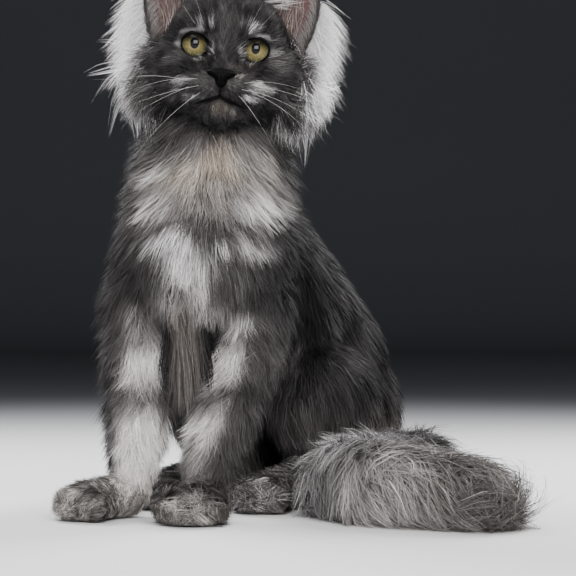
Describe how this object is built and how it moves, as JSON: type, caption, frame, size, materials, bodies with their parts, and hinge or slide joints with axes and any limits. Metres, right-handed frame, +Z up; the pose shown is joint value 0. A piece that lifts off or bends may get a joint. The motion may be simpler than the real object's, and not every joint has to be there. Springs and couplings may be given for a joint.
{
  "type": "maine coon cat model",
  "caption": "Life-size still model of a long-haired cat sitting upright on its haunches, with a ruffed neck, tufted ears and a bushy tail laid forward on the floor.",
  "frame": {"origin": "middle of the base of the whole cat, on the floor", "axes": "+Z up, the cat faces the viewer at -Y and turns a little to its right, +X is to the viewer's right, the cat's left"},
  "size_m": [0.3542, 0.403, 0.4564],
  "materials": {
    "coat": "long smoke-grey and silver fur",
    "eye": "clear gloss over a gold-green iris",
    "nose_leather": "fine-grained, near black"
  },
  "bodies": {
    "root": {"eye_left": "eye", "eye_right": "eye", "nose": "nose_leather", "head": "coat", "ear_left": "coat", "ear_right": "coat", "neck": "coat", "chest": "coat", "waist": "coat", "rump": "coat", "foreleg_left": "coat", "foreleg_right": "coat", "forepaw_left": "coat", "forepaw_right": "coat", "thigh_left": "coat", "thigh_right": "coat", "hindfoot_left": "coat", "hindfoot_right": "coat", "tail_root": "coat", "tail_middle": "coat", "tail_end": "coat"}
  },
  "joints": []
}
